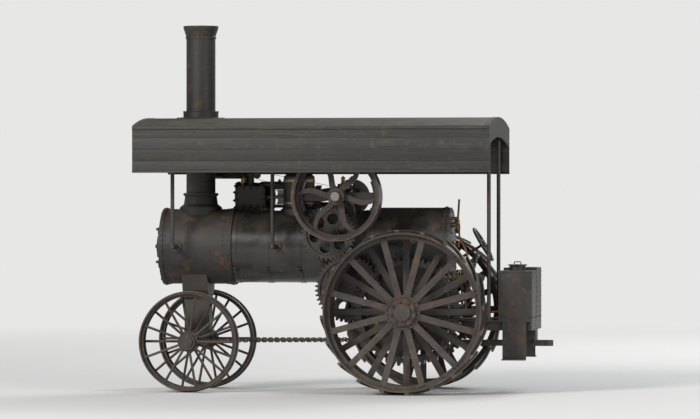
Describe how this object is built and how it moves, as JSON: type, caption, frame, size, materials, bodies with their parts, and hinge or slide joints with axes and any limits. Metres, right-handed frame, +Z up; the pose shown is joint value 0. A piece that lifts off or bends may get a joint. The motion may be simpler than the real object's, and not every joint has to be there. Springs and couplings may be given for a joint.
{
  "type": "steam traction engine",
  "caption": "Farm steam engine on spoked iron wheels with cleats, tall stack and full canopy; wheels roll, axle steers, flywheel turns, doors open.",
  "frame": {"origin": "on the ground under the middle of the engine's overall length and width", "axes": "+X forward towards the smokebox, +Y to the engine's left, +Z up"},
  "size_m": [4.1849, 2.16, 3.75],
  "materials": {
    "boiler_paint": "satin, dusty",
    "stack_soot": "matt, sooty",
    "wheel_paint": "worn, dusty",
    "cast_iron": "rough, oily",
    "bright_steel": "worn, oiled",
    "brass": "dull",
    "plate_paint": "worn",
    "canopy_wood": "weathered, painted dark"
  },
  "bodies": {
    "chassis": {"barrel": "boiler_paint", "firebox": "boiler_paint", "grate": "stack_soot", "ash_pan": "stack_soot", "backhead_fittings": "brass", "smokebox": "stack_soot", "tube_sheet": "stack_soot", "smokestack": "stack_soot", "steam_dome": "boiler_paint", "safety_valve": "brass", "steam_cylinder": "cast_iron", "engine_bed": "cast_iron", "crosshead_and_rods": "bright_steel", "valve_gear": "bright_steel", "governor": "cast_iron", "steam_pipe": "boiler_paint", "exhaust_pipe": "boiler_paint", "crank_bearings": "cast_iron", "crank_pinion": "cast_iron", "intermediate_gear": "cast_iron", "compensating_gear": "cast_iron", "countershaft_housing": "cast_iron", "axle_brackets": "cast_iron", "pedestal": "cast_iron", "steering_drum": "cast_iron", "steering_shaft": "cast_iron", "steering_chain_left": "cast_iron", "steering_chain_right": "cast_iron", "platform": "plate_paint", "drawbar": "cast_iron", "coal_bunker": "plate_paint", "water_tank": "plate_paint", "reverse_lever": "bright_steel", "canopy_roof": "canopy_wood", "canopy_frame": "canopy_wood", "canopy_posts": "plate_paint"},
    "crankshaft": {"crankshaft": "bright_steel", "flywheel": "wheel_paint", "clutch": "cast_iron"},
    "drive_wheel_left": {"drive_wheel_left": "wheel_paint", "bull_gear_left": "cast_iron"},
    "drive_wheel_right": {"drive_wheel_right": "wheel_paint", "bull_gear_right": "cast_iron"},
    "pinion_left": {"bull_pinion_left": "cast_iron"},
    "pinion_right": {"bull_pinion_right": "cast_iron"},
    "front_axle": {"front_axle": "cast_iron"},
    "front_wheel_left": {"front_wheel_left": "wheel_paint"},
    "front_wheel_right": {"front_wheel_right": "wheel_paint"},
    "smokebox_door": {"smokebox_door": "stack_soot"},
    "fire_door": {"fire_door": "stack_soot"}
  },
  "joints": [
    {"name": "drive_left_spin", "type": "hinge", "parent": "chassis", "child": "drive_wheel_left", "pos_m": [-0.6725, 0.85, 0.828], "axis": [0, 1, 0], "continuous": true},
    {"name": "drive_right_spin", "type": "hinge", "parent": "chassis", "child": "drive_wheel_right", "pos_m": [-0.6725, -0.85, 0.828], "axis": [0, 1, 0], "continuous": true},
    {"name": "pinion_left_spin", "type": "hinge", "parent": "chassis", "child": "pinion_left", "pos_m": [-0.0525, 0.57, 1.05427], "axis": [0, 1, 0], "continuous": true},
    {"name": "pinion_right_spin", "type": "hinge", "parent": "chassis", "child": "pinion_right", "pos_m": [-0.0525, -0.57, 1.05427], "axis": [0, 1, 0], "continuous": true},
    {"name": "crankshaft_spin", "type": "hinge", "parent": "chassis", "child": "crankshaft", "pos_m": [0.0275, 0, 1.99], "axis": [0, 1, 0], "continuous": true},
    {"name": "steering", "type": "hinge", "parent": "chassis", "child": "front_axle", "pos_m": [1.5775, 0, 0.515], "axis": [0, 0, 1], "range_deg": [-22, 22], "deforming": ["steering_chain_left", "steering_chain_right"]},
    {"name": "front_left_spin", "type": "hinge", "parent": "front_axle", "child": "front_wheel_left", "pos_m": [1.5775, 0.56, 0.515], "axis": [0, 1, 0], "continuous": true},
    {"name": "front_right_spin", "type": "hinge", "parent": "front_axle", "child": "front_wheel_right", "pos_m": [1.5775, -0.56, 0.515], "axis": [0, 1, 0], "continuous": true},
    {"name": "smokebox_door_hinge", "type": "hinge", "parent": "chassis", "child": "smokebox_door", "pos_m": [1.9515, -0.332, 1.48], "axis": [0, 0, -1], "range_deg": [0, 115]},
    {"name": "fire_door_hinge", "type": "hinge", "parent": "chassis", "child": "fire_door", "pos_m": [-1.0785, -0.195, 1.07], "axis": [0, 0, 1], "range_deg": [0, 110]}
  ],
  "couplings": [
    {"joint": "pinion_left_spin", "follows": "drive_left_spin", "ratio": -4.5},
    {"joint": "pinion_right_spin", "follows": "drive_right_spin", "ratio": -4.5}
  ]
}
